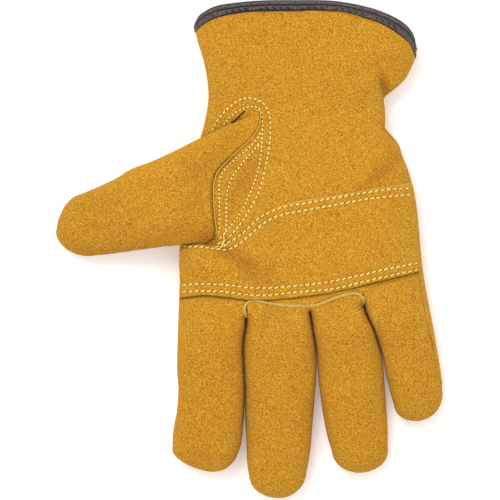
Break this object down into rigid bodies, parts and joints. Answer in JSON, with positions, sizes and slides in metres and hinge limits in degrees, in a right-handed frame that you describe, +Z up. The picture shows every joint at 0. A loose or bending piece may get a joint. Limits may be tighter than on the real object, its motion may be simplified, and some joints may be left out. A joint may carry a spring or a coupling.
{
  "type": "leather driver glove",
  "caption": "Right-hand leather driver glove with a set-in thumb, a palm patch, a welted finger seam and a bound cuff, lying palm up.",
  "frame": {"origin": "on the surface that the glove lies on, under the middle of its bounding box", "axes": "+Z up out of the palm, +Y from the fingertips to the cuff, -X towards the thumb"},
  "size_m": [0.1974, 0.2538, 0.035],
  "materials": {
    "suede": "golden tan split leather with a fine nap",
    "binding": "dark brown-black smooth tape",
    "welt": "pale raw leather edge",
    "thread": "pale yellow sewing thread"
  },
  "bodies": {
    "root": {"palm_front": "suede", "finger_fronts": "suede", "back": "suede", "thumb_top": "suede", "thumb_under": "suede", "palm_patch": "suede", "cuff_binding": "binding", "finger_welt": "welt", "thumb_welt": "welt"}
  },
  "joints": []
}
